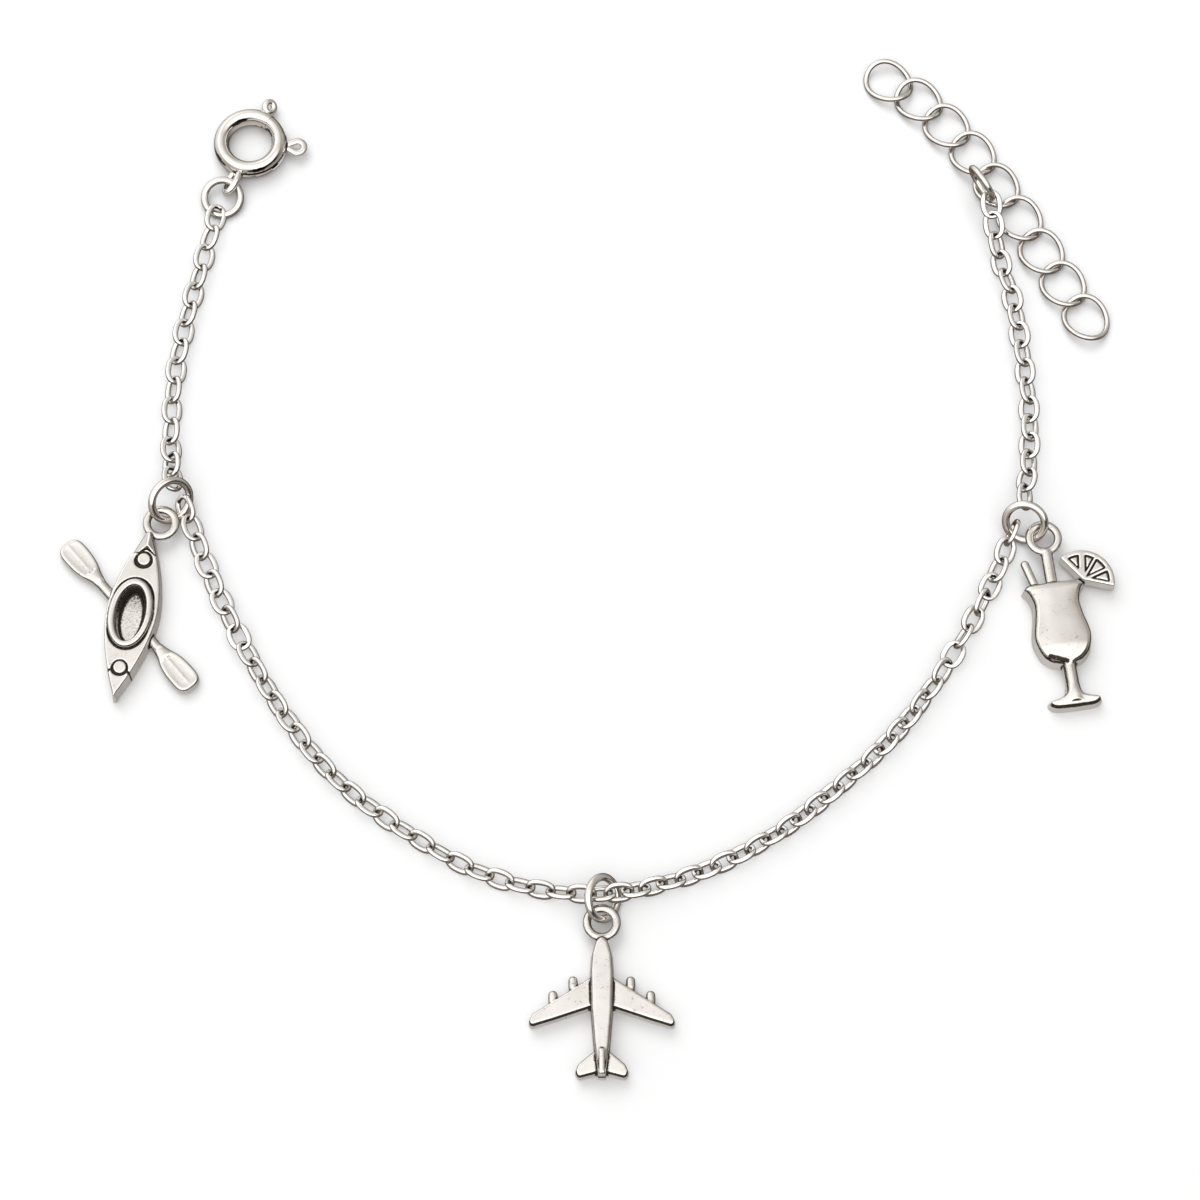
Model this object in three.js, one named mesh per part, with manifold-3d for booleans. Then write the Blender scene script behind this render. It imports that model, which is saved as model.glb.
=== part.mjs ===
// Charm anklet, lying open on a flat surface. Millimetres, +Z up.
// A cable chain runs as a wide U from a spring-ring clasp to an extender chain of open links.
// A kayak, an airplane and a cocktail glass hang from it on jump rings.
import * as THREE from 'three';
import { mergeVertices } from 'three/addons/utils/BufferGeometryUtils.js';
import Module from 'manifold-3d';

const wasm = await Module();
wasm.setup();

// ---------------------------------------------------------------- driving dimensions

const TURN = Math.PI * 2;
const MERGE = 1e-4;

// cable chain: a tube as thick as the links that stand on edge, flat underneath
const CHAIN_WIDTH = 2.0;
const CHAIN_SIDES = 8;
const CHAIN_REST = CHAIN_WIDTH / 2;
const CHAIN_STEP = 4.0;

// the routes of the chain's three stretches, from the clasp round to the extender
const ROUTE_CLASP = [
  [-44.6, 47.0, 1.1], [-45.8, 41.3, 1.1], [-47.2, 35.8, 1.1], [-48.3, 29.9, 1.1],
  [-48.9, 22.6, 1.1], [-48.8, 17.8, 1.45], [-48.2, 13.65, 2.85],
];
const ROUTE_MIDDLE = [
  [-46.5, 9.8, 1.1], [-45.2, 6.0, 1.1], [-42.5, -0.6, 1.1], [-39.3, -6.9, 1.1],
  [-35.2, -13.4, 1.1], [-31.1, -19.0, 1.1], [-26.2, -23.8, 1.1], [-20.4, -28.1, 1.1],
  [-14.2, -31.6, 1.1], [-8.7, -33.6, 1.1], [-4.3, -34.6, 1.1], [-1.3, -34.9, 1.65],
  [1.7, -34.85, 2.3], [4.7, -34.3, 1.8], [9.6, -32.6, 1.1], [15.4, -30.0, 1.1],
  [20.8, -26.7, 1.1], [26.3, -22.3, 1.1], [31.1, -18.0, 1.1], [35.1, -13.2, 1.1],
  [38.8, -7.8, 1.1], [42.3, -1.8, 1.1], [44.8, 3.4, 1.1], [46.3, 6.9, 1.4],
];
const ROUTE_EXTENDER = [
  [48.05, 10.5, 2.75], [48.3, 14.2, 1.5], [48.8, 18.6, 1.1], [48.9, 24.5, 1.1],
  [48.3, 32.0, 1.1], [46.9, 38.9, 1.1], [45.6, 44.2, 1.1], [44.7, 47.95, 1.1],
];

// jump rings: centre, centreline radius, wire, and the lean that dips their side at heading down
const RING_STEPS = 20;
const RING_SIDES = 8;
const JUMP_RINGS = [
  { name: 'clasp', at: [-44.0, 49.59, 0.83], radius: 2.1, wire: 0.76, lean: 11.9, heading: 270.4 },
  { name: 'kayak', at: [-48.46, 11.13, 2.3], radius: 2.38, wire: 0.8, lean: 51.8, heading: 313.7 },
  { name: 'airplane', at: [-0.04, -35.2, 2.63], radius: 2.56, wire: 0.8, lean: 60.1, heading: 345.3 },
  { name: 'cocktail', at: [47.93, 8.57, 2.1], radius: 2.22, wire: 0.8, lean: 49, heading: 249.7 },
  { name: 'extender', at: [44.93, 50.72, 1.42], radius: 2.13, wire: 0.76, lean: 29, heading: 265.6 },
];

// extender: open wire links with a curb twist, each over and under its neighbour
const EXTENDER = {
  wire: 0.54, halfLength: 2.74, halfWidth: 2.37, twist: -0.44, rest: 0.74, steps: 22, sides: 6,
};
const EXTENDER_ROUTE = [
  [34.0, 64.7], [37.5, 62.2], [40.7, 58.8], [43.65, 55.2], [46.3, 51.05], [48.85, 46.85],
  [51.2, 42.65], [53.55, 38.5], [56.0, 34.3],
];
const EXTENDER_PITCHES = [4.3, 4.68, 4.68, 4.82, 4.82, 4.75, 4.77, 4.8];

// spring-ring clasp: angles in degrees, anticlockwise from +X, about the ring's centre
const CLASP = {
  at: [-40.9, 56.4, 1.25], radius: 3.385, halfHeight: 1.25, halfWall: 0.89, wall: 0.1,
  gapFrom: 12, gapTo: 50, sides: 12,
};
const GATE = {
  tail: -38, tip: 53, triggerAt: -5, halfHeight: 1.04, halfWall: 0.69,
  stemRadius: 0.2, loopAt: 5.55, loopRadius: 0.82, loopWire: 0.31,
};
const SLOT = { from: -49, to: -0.5, halfHeight: 0.26 };
const CLASP_EYE = { heading: 248, at: 5.18, long: 1.6, short: 0.9, wire: 0.34, roll: 55, up: -0.05 };
const CLASP_TAB = { heading: 66, at: 5.15, radius: 0.6, wire: 0.38, roll: 35 };

// charms: each is modelled flat on its back and turned about +Z into place
const CHARM_EYE = { radius: 1.65, wire: 0.4, up: 1.5 };
const KAYAK = {
  at: [-52.4, -2.4], turn: -9.5, eye: [1.0, 11.4],
  hull: { widest: 0.3, reach: 10.35, power: 1.75, halfWidth: 3.0, bow: 9.95, stern: -9.95, stem: 0.25 },
  deck: 2.25, edge: 0.3, stations: 18, hatches: [[0.05, 6.6], [0.0, -6.4]],
  hatchRadius: 0.72, hatchGroove: 1.12,
  coaming: { at: [-0.1, -0.02], halfLong: 4.1, halfShort: 2.45, band: 0.8, top: 2.75 },
  wellFloor: 1.0, grooveDepth: 0.3, grooveWidth: 0.3,
};
const PADDLE = {
  at: [-0.26, 0.0], turn: -39.5, halfLength: 11.3, shaft: 1.15, neck: 5.4, shoulder: 7.2,
  halfBlade: 1.5, thickness: 1.1, bottom: 0.3, edge: 0.28,
};
const AIRPLANE = {
  at: [0.2, -37.95], turn: 0, body: 2.6, wing: 1.8, edge: 0.3, nose: -1.6, tail: -17.15,
  engines: [[-3.13, -5.95], [-5.3, -7.6], [3.1, -5.95], [5.28, -7.5]],
  engineRadius: 0.5, engineLength: 1.9,
  fin: { from: -14.1, to: -17.1, halfWidth: 0.45, foot: 2.3, top: 2.9 },
};
const GLASS = {
  at: [49.95, 6.8], turn: 7.8, bowlMiddle: 0.12, footMiddle: 0.3, body: 2.6, edge: 0.6,
  stem: 1.6, stations: 14,
  profile: [
    [3.5, -5.4], [3.05, -6.3], [2.65, -7.9], [2.85, -9.5], [3.2, -11.0], [3.3, -12.2], [2.8, -13.8],
    [1.9, -14.8], [0.8, -15.25],
  ],
  foot: [
    [0.4, -20.2], [2.0, -20.15], [2.75, -19.9], [3.05, -19.4], [2.75, -19.0], [1.5, -18.6],
    [0.95, -18.2], [0.75, -17.7],
  ],
  straws: [
    { from: [0.05, -1.75], to: [0.0, -6.2], radius: 0.66, up: 1.45 },
    { from: [-2.58, -2.75], to: [-1.75, -6.2], radius: 0.5, up: 1.45 },
  ],
};
const SLICE = {
  at: [3.45, -5.7], radius: 3.7, from: -20, to: 125, bottom: 0.4, top: 2.1, rim: 0.55,
  recess: 0.35, spokes: [18, 52, 82], spokeWidths: [0.26, 0.22, 0.6],
};

// ---------------------------------------------------------------- helpers

const radians = THREE.MathUtils.degToRad;

function material(color, roughness) {
  return new THREE.MeshStandardMaterial({ color, metalness: 1, roughness });
}

const brightSilver = material(0xd9d6d1, 0.12);
const antiqueSilver = material(0xbdb8b0, 0.3);

function toSolid(geometry) {
  const merged = mergeVertices(stripped(geometry), MERGE);
  const vertProperties = new Float32Array(merged.attributes.position.array);
  const triVerts = new Uint32Array(merged.index.array);
  return new wasm.Manifold(new wasm.Mesh({ numProp: 3, vertProperties, triVerts }));
}

function stripped(geometry) {
  const copy = geometry.clone();
  copy.deleteAttribute('normal');
  copy.deleteAttribute('uv');
  return copy;
}

function toGeometry(solid) {
  const mesh = solid.getMesh();
  const geometry = new THREE.BufferGeometry();
  geometry.setAttribute('position', new THREE.BufferAttribute(mesh.vertProperties, 3));
  geometry.setIndex(new THREE.BufferAttribute(mesh.triVerts, 1));
  geometry.computeVertexNormals();
  return geometry;
}

function join(geometries) {
  return geometries.map(toSolid).reduce((whole, piece) => whole.add(piece));
}

function cut(solid, geometries) {
  return geometries.map(toSolid).reduce((whole, tool) => whole.subtract(tool), solid);
}

function piece(name, geometry, surface) {
  const mesh = new THREE.Mesh(geometry, surface);
  mesh.name = name;
  return mesh;
}

function points2(list) {
  return list.map(([x, y]) => new THREE.Vector2(x, y));
}

function ellipsePoints(halfX, halfY, count, startTurn = 0) {
  const points = [];
  for (let i = 0; i < count; i += 1) {
    const angle = startTurn + (i / count) * TURN;
    points.push(new THREE.Vector2(halfX * Math.cos(angle), halfY * Math.sin(angle)));
  }
  return points;
}

function ellipseShape(halfX, halfY, count, startTurn = 0) {
  return new THREE.Shape(ellipsePoints(halfX, halfY, count, startTurn));
}

// a closed wire along a closed curve
class ClosedWire extends THREE.Curve {
  constructor(place) {
    super();
    this.place = place;
  }

  getPoint(t, target = new THREE.Vector3()) {
    return target.copy(this.place(t * TURN));
  }
}

function closedWire(place, radius, steps, sides) {
  return new THREE.TubeGeometry(new ClosedWire(place), steps, radius, sides, true);
}

// an arc in the XY plane, by angles in degrees
class Arc extends THREE.Curve {
  constructor(radius, from, to) {
    super();
    this.radius = radius;
    this.from = radians(from);
    this.to = radians(to);
  }

  getPoint(t, target = new THREE.Vector3()) {
    const angle = this.from + (this.to - this.from) * t;
    return target.set(this.radius * Math.cos(angle), this.radius * Math.sin(angle), 0);
  }
}

function sweep(shape, path, steps) {
  return new THREE.ExtrudeGeometry(shape, { steps, extrudePath: path, bevelEnabled: false });
}

function arcTube(radius, from, to, halfHeight, halfWall, sides) {
  const steps = Math.ceil(Math.abs(to - from) / 11);
  return sweep(ellipseShape(halfHeight, halfWall, sides), new Arc(radius, from, to), steps);
}

// a flat casting from z = bottom to z = top, whose edges are rounded inside its outline
function slab(outline, bottom, top, edge, segments = 1) {
  const geometry = new THREE.ExtrudeGeometry(new THREE.Shape(outline), {
    depth: top - bottom - 2 * edge,
    bevelEnabled: true,
    bevelThickness: edge,
    bevelSize: edge,
    bevelOffset: -edge,
    bevelSegments: segments,
  });
  return geometry.translate(0, 0, bottom + edge);
}

// a straight-sided block from z = bottom to z = top, with an optional hole
function block(outline, bottom, top, hole) {
  const shape = new THREE.Shape(outline);
  if (hole) {
    shape.holes.push(new THREE.Path(hole));
  }
  const geometry = new THREE.ExtrudeGeometry(shape, { depth: top - bottom, bevelEnabled: false });
  return geometry.translate(0, 0, bottom);
}

// a closed skin through convex sections with the same number of points, capped at both ends
function loft(sections) {
  const count = sections[0].length;
  const last = (sections.length - 1) * count;
  const index = [];
  for (let i = 0; i < last; i += count) {
    for (let j = 0; j < count; j += 1) {
      const next = (j + 1) % count;
      index.push(i + j, i + count + next, i + next, i + j, i + count + j, i + count + next);
    }
  }
  for (let j = 1; j < count - 1; j += 1) {
    index.push(0, j, j + 1, last, last + j + 1, last + j);
  }
  const geometry = new THREE.BufferGeometry();
  geometry.setAttribute('position', new THREE.Float32BufferAttribute(sections.flat(2), 3));
  geometry.setIndex(index);
  return geometry;
}

// a casting's section across +Y: flat back, upright walls, rounded shoulders, flat face
function castSection(y, width, top, edge) {
  const round = Math.min(edge, width * 0.6);
  const half = [
    [width, 0], [width, top - round], [width - round * 0.3, top - round * 0.3], [width - round, top],
  ];
  return half.concat(half.map(([x, z]) => [-x, z]).reverse()).map(([x, z]) => [x, y, z]);
}

function rod(from, to, radius, up, sides = 10) {
  const a = new THREE.Vector3(from[0], from[1], up);
  const b = new THREE.Vector3(to[0], to[1], up);
  const geometry = new THREE.CylinderGeometry(radius, radius, a.distanceTo(b), sides);
  const facing = new THREE.Quaternion();
  facing.setFromUnitVectors(new THREE.Vector3(0, 1, 0), b.clone().sub(a).normalize());
  const middle = a.add(b).multiplyScalar(0.5);
  return geometry.applyQuaternion(facing).translate(middle.x, middle.y, middle.z);
}

function moved(list, dx, dy) {
  return list.map((p) => new THREE.Vector2(p.x + dx, p.y + dy));
}

function charmEye(x, y) {
  const { radius, wire, up } = CHARM_EYE;
  return new THREE.TorusGeometry(radius, wire, RING_SIDES, RING_STEPS).translate(x, y, up);
}

// ---------------------------------------------------------------- chain

function chainRun(name, route) {
  const path = new THREE.CatmullRomCurve3(route.map((p) => new THREE.Vector3(...p)));
  const steps = Math.round(path.getLength() / CHAIN_STEP);
  const corner = CHAIN_REST / Math.cos(Math.PI / CHAIN_SIDES);
  const section = ellipseShape(corner, corner, CHAIN_SIDES, Math.PI / CHAIN_SIDES);
  return piece(name, sweep(section, path, steps), brightSilver);
}

// ---------------------------------------------------------------- jump rings

function jumpRing({ name, at, radius, wire, lean, heading }) {
  const ring = new THREE.TorusGeometry(radius, wire / 2, RING_SIDES, RING_STEPS);
  const mesh = piece(`jump_ring_${name}`, ring, brightSilver);
  mesh.rotation.set(0, radians(lean), radians(heading), 'ZYX');
  mesh.position.set(...at);
  return mesh;
}

// ---------------------------------------------------------------- extender

function extenderLink(name, at, heading) {
  const { wire, halfLength, halfWidth, twist, steps, sides } = EXTENDER;
  const place = (angle) => new THREE.Vector3(
    halfLength * Math.cos(angle),
    halfWidth * Math.sin(angle),
    twist * Math.sin(2 * angle),
  );
  const mesh = piece(name, closedWire(place, wire / 2, steps, sides), brightSilver);
  mesh.rotation.z = heading;
  mesh.position.copy(at);
  return mesh;
}

function extenderChain() {
  const path = new THREE.CatmullRomCurve3(
    EXTENDER_ROUTE.map(([x, y]) => new THREE.Vector3(x, y, EXTENDER.rest)),
  );
  const length = path.getLength();
  const links = [];
  let along = 0;
  for (let i = 0; i <= EXTENDER_PITCHES.length; i += 1) {
    const at = path.getPointAt(Math.min(along / length, 1));
    const tangent = path.getTangentAt(Math.min(along / length, 1));
    links.push(extenderLink(`extender_link_${i + 1}`, at, Math.atan2(tangent.y, tangent.x)));
    along += EXTENDER_PITCHES[i] ?? 0;
  }
  return links;
}

// ---------------------------------------------------------------- clasp

function onRing(radius, heading, up = 0) {
  const angle = radians(heading);
  return new THREE.Vector3(radius * Math.cos(angle), radius * Math.sin(angle), up);
}

// a wire loop set radially on the clasp, rolled about the radial line through it
function radialLoop({ heading, at, long, short, wire, roll, up = 0 }, steps, sides) {
  const place = (angle) => new THREE.Vector3(long * Math.cos(angle), short * Math.sin(angle), 0);
  const loop = closedWire(place, wire, steps, sides);
  loop.rotateX(radians(roll));
  loop.rotateZ(radians(heading));
  const middle = onRing(at, heading, up);
  return loop.translate(middle.x, middle.y, middle.z);
}

function claspRing() {
  const { radius, halfHeight, halfWall, wall, gapFrom, gapTo, sides } = CLASP;
  const end = gapFrom + 360;
  const overrun = 4;
  const shell = arcTube(radius, gapTo, end, halfHeight, halfWall, sides);
  const bore = arcTube(
    radius, gapTo - overrun, end + overrun, halfHeight - wall, halfWall - wall, sides,
  );
  const tab = { ...CLASP_TAB, long: CLASP_TAB.radius, short: CLASP_TAB.radius };
  const eye = radialLoop(CLASP_EYE, 20, 8);
  const slotWidth = new THREE.Shape(points2([
    [-SLOT.halfHeight, -0.4], [SLOT.halfHeight, -0.4], [SLOT.halfHeight, 0.4], [-SLOT.halfHeight, 0.4],
  ]));
  const slot = sweep(slotWidth, new Arc(radius + halfWall, SLOT.from, SLOT.to), 8);
  const solid = cut(join([shell, eye, radialLoop(tab, 16, 8)]), [bore, slot]);
  const mesh = piece('clasp_ring', toGeometry(solid), brightSilver);
  mesh.position.set(...CLASP.at);
  return mesh;
}

function claspGate() {
  const { tail, tip, triggerAt, halfHeight, halfWall, stemRadius, loopAt, loopRadius } = GATE;
  const bolt = arcTube(CLASP.radius, tail, tip, halfHeight, halfWall, 10);
  const near = onRing(CLASP.radius, triggerAt);
  const far = onRing(loopAt - loopRadius, triggerAt);
  const stem = rod([near.x, near.y], [far.x, far.y], stemRadius, 0);
  const loop = new THREE.TorusGeometry(loopRadius, GATE.loopWire, RING_SIDES, 16);
  const middle = onRing(loopAt, triggerAt);
  loop.translate(middle.x, middle.y, 0);
  const mesh = piece('clasp_gate', toGeometry(join([bolt, stem, loop])), brightSilver);
  mesh.position.set(...CLASP.at);
  return mesh;
}

// ---------------------------------------------------------------- kayak

function hull() {
  const { widest, reach, power, halfWidth, bow, stern, stem } = KAYAK.hull;
  const sections = [];
  for (let i = 0; i <= KAYAK.stations; i += 1) {
    const y = stern + ((bow - stern) * i) / KAYAK.stations;
    const width = halfWidth * (1 - Math.abs((y - widest) / reach) ** power);
    sections.push(castSection(y, Math.max(width, stem), KAYAK.deck, KAYAK.edge));
  }
  return loft(sections);
}

function paddleOutline() {
  const { halfLength, shaft, neck, shoulder, halfBlade } = PADDLE;
  const corner = 1.1;
  const half = [[neck, shaft / 2], [shoulder, halfBlade * 0.9], [halfLength - corner * 1.6, halfBlade]];
  for (let i = 1; i <= 3; i += 1) {
    const angle = (i / 4) * (Math.PI / 2);
    half.push([
      halfLength - corner * 1.6 + corner * 1.6 * Math.sin(angle),
      halfBlade - corner + corner * Math.cos(angle),
    ]);
  }
  half.push([halfLength, (halfBlade - corner) * 0.8]);
  const right = half.concat(half.map(([x, y]) => [x, -y]).reverse());
  const left = right.map(([x, y]) => [-x, -y]);
  return points2(right.concat(left)).reverse();
}

function kayak() {
  const { coaming, deck, hatches, hatchRadius, hatchGroove } = KAYAK;
  const [cx, cy] = coaming.at;
  const around = (grow, count = 28) => moved(
    ellipsePoints(coaming.halfShort + grow, coaming.halfLong + grow, count), cx, cy,
  );
  const coamingBand = block(around(0), 0.6, coaming.top);
  const blades = slab(paddleOutline(), PADDLE.bottom, PADDLE.bottom + PADDLE.thickness, PADDLE.edge);
  blades.rotateZ(radians(PADDLE.turn)).translate(PADDLE.at[0], PADDLE.at[1], 0);
  const groove = block(
    around(KAYAK.grooveWidth), deck - KAYAK.grooveDepth, deck + 1, around(0).reverse(),
  );
  const rings = hatches.map(([x, y]) => block(
    moved(ellipsePoints(hatchGroove, hatchGroove, 14), x, y), deck - KAYAK.grooveDepth, deck + 1,
    moved(ellipsePoints(hatchRadius, hatchRadius, 14), x, y).reverse(),
  ));
  const well = block(around(-coaming.band, 24), KAYAK.wellFloor, coaming.top + 1);
  const grooved = cut(toSolid(hull()), [groove, ...rings]);
  const solid = cut(
    grooved.add(join([coamingBand, blades, charmEye(...KAYAK.eye)])), [well],
  );
  return placed(piece('charm_kayak', toGeometry(solid), antiqueSilver), KAYAK);
}

// ---------------------------------------------------------------- airplane

function mirrored(half) {
  return points2(half.concat(half.map(([x, y]) => [-x, y]).reverse()));
}

// the fin is a wedge on the tail, low and thin in front, tall and blunt behind
function finWedge() {
  const { from, to, halfWidth, foot, top } = AIRPLANE.fin;
  const section = (y, width, height) => [
    [width, y, foot], [width * 0.7, y, height], [-width * 0.7, y, height], [-width, y, foot],
  ];
  return loft([section(to, halfWidth, top), section(from, halfWidth * 0.3, foot + 0.2)]);
}

function airplane() {
  const { body, wing, edge, nose, tail } = AIRPLANE;
  const fuselage = mirrored([
    [0.25, tail], [0.55, tail + 0.4], [0.95, -13.6], [1.25, -9.8], [1.34, -5.6], [1.2, -3.6],
    [0.75, -2.1], [0.3, nose],
  ]);
  const wings = mirrored([
    [0.6, -9.4], [1.3, -9.5], [7.45, -11.5], [7.85, -11.3], [7.95, -10.8], [7.6, -10.1], [1.2, -6.0],
    [0.6, -5.9],
  ]);
  const tailplane = mirrored([
    [0.4, -16.6], [0.75, -16.7], [2.4, -17.15], [2.75, -16.95], [2.9, -16.45], [2.6, -15.7],
    [0.97, -14.3], [0.4, -14.0],
  ]);
  const engines = AIRPLANE.engines.flatMap(([x, y]) => {
    const radius = AIRPLANE.engineRadius;
    const cowl = new THREE.SphereGeometry(radius, 10, 6).translate(x, y - radius, 1.0);
    return [cowl, rod([x, y - radius], [x, y - AIRPLANE.engineLength], radius, 1.0)];
  });
  const solid = join([
    slab(fuselage, 0, body, edge + 0.1),
    slab(wings, 0, wing, edge),
    slab(tailplane, 0, wing, edge),
    finWedge(),
    charmEye(0, 0),
    ...engines,
  ]);
  return placed(piece('charm_airplane', toGeometry(solid), antiqueSilver), AIRPLANE);
}

// ---------------------------------------------------------------- cocktail glass

// the bowl's half width falls from the flared rim to a waist, swells to the belly and closes
function bowl() {
  const { profile, stations, body, edge, bowlMiddle } = GLASS;
  const side = new THREE.CatmullRomCurve3(profile.map(([x, y]) => new THREE.Vector3(x, y, 0)));
  const points = side.getPoints(stations);
  const sections = points.reverse().map(({ x, y }) => castSection(y, x, body, edge));
  return loft(sections).translate(bowlMiddle, 0, 0);
}

function sliceParts() {
  const { at, radius, from, to, bottom, top, rim, recess, spokes, spokeWidths } = SLICE;
  const sector = (out, start, stop, centre = [0, 0]) => {
    const points = [new THREE.Vector2(centre[0], centre[1])];
    const count = Math.max(3, Math.ceil(Math.abs(stop - start) / 14));
    for (let i = 0; i <= count; i += 1) {
      const angle = radians(start + ((stop - start) * i) / count);
      points.push(new THREE.Vector2(out * Math.cos(angle), out * Math.sin(angle)));
    }
    return moved(points, at[0], at[1]);
  };
  const body = slab(sector(radius, from, to), bottom, top, 0.15);
  const bounds = [from, ...spokes, to];
  const gaps = [rim, ...spokeWidths, rim];
  const segments = bounds.slice(0, -1).map((start, i) => {
    const stop = bounds[i + 1];
    const middle = radians((start + stop) / 2);
    const inset = 0.75;
    const reach = radius - rim;
    const trimStart = start + THREE.MathUtils.radToDeg(gaps[i] / reach) * 0.6;
    const trimStop = stop - THREE.MathUtils.radToDeg(gaps[i + 1] / reach) * 0.6;
    const tip = [inset * Math.cos(middle), inset * Math.sin(middle)];
    return block(sector(reach, trimStart, trimStop, tip), top - recess, top + 1);
  });
  return { body, segments };
}

function cocktail() {
  const { stem, footMiddle, straws } = GLASS;
  const foot = slab(mirrored(GLASS.foot), 0, 1.9, 0.35).translate(footMiddle, 0, 0);
  const stemRod = rod([footMiddle, -14.6], [footMiddle, -18.5], stem / 2, 1.1, 12);
  const slice = sliceParts();
  const rods = straws.map(({ from, to, radius, up }) => rod(from, to, radius, up));
  const whole = join([bowl(), foot, stemRod, slice.body, charmEye(0, 0), ...rods]);
  return placed(piece('charm_cocktail', toGeometry(cut(whole, slice.segments)), antiqueSilver), GLASS);
}

function placed(mesh, { at, turn }) {
  mesh.position.set(at[0], at[1], 0);
  mesh.rotation.z = radians(turn);
  return mesh;
}

// ---------------------------------------------------------------- assembly

const anklet = new THREE.Group();
anklet.name = 'charm_anklet';
anklet.add(claspRing(), claspGate());
anklet.add(...JUMP_RINGS.map(jumpRing));
anklet.add(kayak(), airplane(), cocktail());
anklet.add(...extenderChain());
anklet.add(
  chainRun('chain_run_clasp', ROUTE_CLASP),
  chainRun('chain_run_middle', ROUTE_MIDDLE),
  chainRun('chain_run_extender', ROUTE_EXTENDER),
);

// the origin is under the middle of the anklet's box, on the surface that it lies on
const box = new THREE.Box3().setFromObject(anklet, true);
const middle = box.getCenter(new THREE.Vector3());
anklet.position.set(-middle.x, -middle.y, -box.min.z);
anklet.updateMatrixWorld(true);

export default anklet;
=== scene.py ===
import math

import bpy
import numpy as np
from mathutils import Matrix, Vector


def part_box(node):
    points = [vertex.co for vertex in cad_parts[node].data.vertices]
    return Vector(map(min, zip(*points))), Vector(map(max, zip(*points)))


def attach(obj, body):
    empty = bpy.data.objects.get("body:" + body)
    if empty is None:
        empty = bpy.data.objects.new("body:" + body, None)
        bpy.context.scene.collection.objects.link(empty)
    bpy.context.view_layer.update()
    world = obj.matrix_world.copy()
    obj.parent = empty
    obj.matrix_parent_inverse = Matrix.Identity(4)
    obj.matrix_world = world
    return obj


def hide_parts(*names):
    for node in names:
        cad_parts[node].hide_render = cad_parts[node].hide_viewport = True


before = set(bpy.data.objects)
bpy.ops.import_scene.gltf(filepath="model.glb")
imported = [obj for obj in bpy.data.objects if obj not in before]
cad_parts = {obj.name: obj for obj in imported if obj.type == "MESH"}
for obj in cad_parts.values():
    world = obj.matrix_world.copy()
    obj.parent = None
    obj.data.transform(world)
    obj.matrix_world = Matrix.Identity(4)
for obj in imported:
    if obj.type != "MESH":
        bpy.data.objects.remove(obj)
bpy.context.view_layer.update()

# Sizes below are millimetres on the plan of the CAD source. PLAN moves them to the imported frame:
# the airplane's box gives it, since its middle line and its tail are known on that plan.
MM = 0.001
AIRPLANE_AT = (0.2, -37.95)
AIRPLANE_TAIL = -17.15
low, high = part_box("charm_airplane")
PLAN = Vector((
    (low.x + high.x) / 2 / MM - AIRPLANE_AT[0],
    low.y / MM - AIRPLANE_AT[1] - AIRPLANE_TAIL,
    0.0,
))
TAU = 2 * math.pi


# ---------------------------------------------------------------- camera, floor and light

CAMERA_RISE = math.radians(70)
CAMERA_DISTANCE = 0.45


def look_at(thing, target):
    thing.rotation_euler = (target - thing.location).to_track_quat("-Z", "Y").to_euler()


def add(name, data):
    thing = bpy.data.objects.new(name, data)
    bpy.context.scene.collection.objects.link(thing)
    return thing


camera_data = bpy.data.cameras.new("camera")
camera_data.lens = 120.0
camera_data.sensor_width = 36.0
camera_data.clip_start = 0.01
camera_data.clip_end = 20.0
camera = add("camera", camera_data)
middle = PLAN * MM
camera.location = middle + CAMERA_DISTANCE * Vector((0, -math.cos(CAMERA_RISE), math.sin(CAMERA_RISE)))
look_at(camera, middle)
bpy.context.scene.camera = camera
bpy.context.scene.view_settings.view_transform = "Standard"


def softbox(name, place, size, power):
    data = bpy.data.lights.new(name, "AREA")
    data.shape = "RECTANGLE"
    data.size, data.size_y = size
    data.energy = power
    lamp = add(name, data)
    lamp.location = place
    look_at(lamp, Vector((0, 0, 0)))
    return lamp


for lamp in (
    softbox("key", (-0.18, 0.50, 0.62), (0.7, 0.5), 4.4),
    softbox("overhead", (0.05, -0.05, 1.1), (1.3, 1.3), 5.2),
):
    lamp.visible_glossy = False

# the studio round the table, as the metal mirrors it: level of light by height, from straight down
# (-1) to straight up (1), in its four corners. The first levels followed another program's figures
# of how bright the photo's clasp is by direction, and were then changed by hand in several rounds.
STUDIO = {
    "far_left": [
        (-1.0, 0.20), (-0.87, 0.10), (-0.60, 0.50), (-0.30, 0.85), (0.20, 0.95), (0.62, 1.5),
        (0.80, 0.95), (0.94, 1.2),
    ],
    "far_right": [
        (-1.0, 0.16), (-0.87, 0.07), (-0.50, 0.12), (-0.10, 0.42), (0.30, 0.50), (0.60, 0.42),
        (0.84, 0.82), (0.94, 1.2),
    ],
    "near_left": [
        (-1.0, 0.36), (-0.85, 0.62), (-0.30, 0.40), (0.05, 0.45), (0.20, 0.60), (0.40, 0.75),
        (0.52, 1.6), (1.0, 1.5),
    ],
    "near_right": [
        (-1.0, 0.30), (-0.85, 0.55), (-0.26, 0.36), (-0.05, 0.22), (0.18, 0.03), (0.46, 0.010),
        (0.56, 1.5), (1.0, 1.5),
    ],
}
DARK_WARM, LIGHT_NEUTRAL = (1.0, 0.90, 0.82), (1.0, 0.99, 0.975)
# ---------------------------------------------------------------- materials

def node(tree, kind, **values):
    made = tree.nodes.new(kind)
    for key, value in values.items():
        if key in made.inputs:
            made.inputs[key].default_value = value
        else:
            setattr(made, key, value)
    return made


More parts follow.
